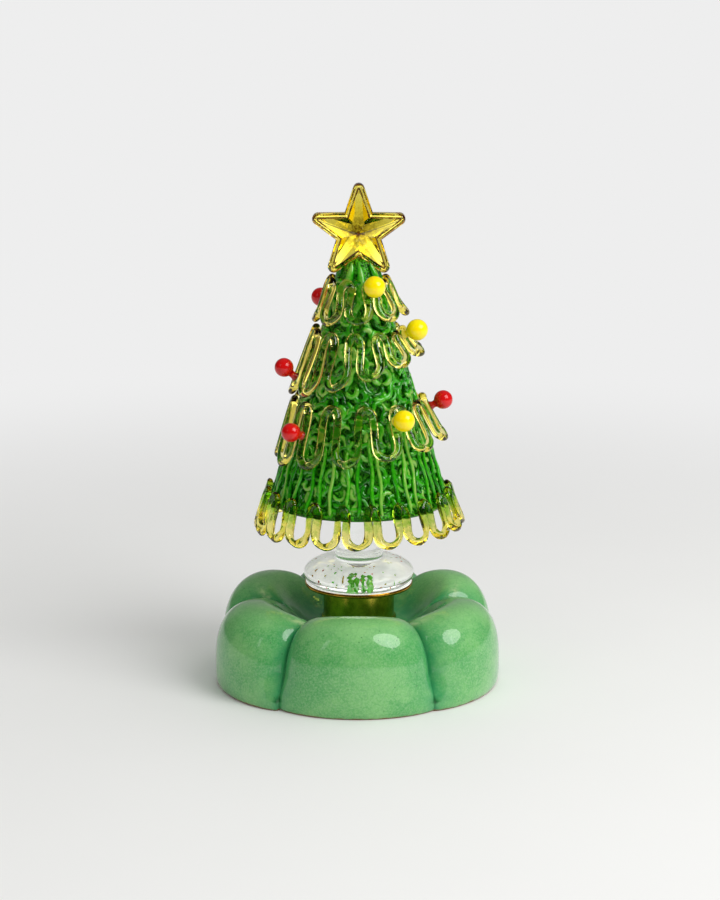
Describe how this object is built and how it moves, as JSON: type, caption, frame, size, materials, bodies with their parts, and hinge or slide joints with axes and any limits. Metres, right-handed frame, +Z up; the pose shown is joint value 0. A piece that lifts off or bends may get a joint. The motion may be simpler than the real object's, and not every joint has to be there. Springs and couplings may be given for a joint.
{
  "type": "spinning glass christmas tree",
  "caption": "Green glass Christmas tree with looped yellow garlands, glass balls and a star, turning on a ball bearing in a lobed celadon ceramic base.",
  "frame": {"origin": "centre of the ceramic base's underside, on the spin axis", "axes": "+Z up along the spin axis, -Y towards the front that the star faces"},
  "size_m": [0.0747, 0.0758, 0.1304],
  "materials": {
    "celadon": "glossy crackle glaze",
    "brass": "polished",
    "bearing_steel": "ground",
    "rubber": "matt",
    "clear_glass": "polished",
    "green_glass": "polished, worked into flutes and scales",
    "yellow_glass": "fire-polished rod",
    "star_glass": "pressed and fire-polished",
    "red_bead": "opaque glossy",
    "yellow_bead": "opaque glossy"
  },
  "bodies": {
    "base": {"ceramic_base_front": "celadon", "ceramic_base_rear": "celadon", "bearing_housing": "brass", "housing_gasket": "rubber", "clamp_pad": "rubber", "clamp_washer": "bearing_steel", "clamp_screw": "bearing_steel", "bearing_outer_race": "bearing_steel", "bearing_shield_upper": "bearing_steel", "bearing_shield_lower": "bearing_steel"},
    "cage": {"bearing_cage": "brass", "bearing_ball_1": "bearing_steel", "bearing_ball_2": "bearing_steel", "bearing_ball_3": "bearing_steel", "bearing_ball_4": "bearing_steel", "bearing_ball_5": "bearing_steel", "bearing_ball_6": "bearing_steel", "bearing_ball_7": "bearing_steel"},
    "tree": {"spindle": "bearing_steel", "spindle_washer": "bearing_steel", "spindle_screw": "bearing_steel", "bearing_inner_race": "bearing_steel", "turntable_disc": "brass", "glass_foot": "clear_glass", "glass_stem": "clear_glass", "tree_skirt": "green_glass", "tree_middle": "green_glass", "tree_upper": "green_glass", "tree_top": "green_glass", "star_topper": "star_glass", "garland_top": "yellow_glass", "garland_upper": "yellow_glass", "garland_lower": "yellow_glass", "hem_loops": "yellow_glass", "yellow_ball_crown": "yellow_bead", "yellow_ball_right": "yellow_bead", "red_ball_left": "red_bead", "red_ball_right": "red_bead", "yellow_ball_front": "yellow_bead", "red_ball_front": "red_bead", "red_ball_crown": "red_bead", "red_ball_rear": "red_bead", "yellow_ball_rear": "yellow_bead", "red_ball_rear_right": "red_bead", "yellow_ball_rear_left": "yellow_bead"}
  },
  "joints": [
    {"name": "tree_spin", "type": "hinge", "parent": "base", "child": "tree", "pos_m": [0, 0, 0.021], "axis": [0, 0, 1], "continuous": true},
    {"name": "cage_orbit", "type": "hinge", "parent": "base", "child": "cage", "pos_m": [0, 0, 0.021], "axis": [0, 0, 1], "continuous": true}
  ],
  "couplings": [
    {"joint": "cage_orbit", "follows": "tree_spin", "ratio": 0.3677}
  ]
}
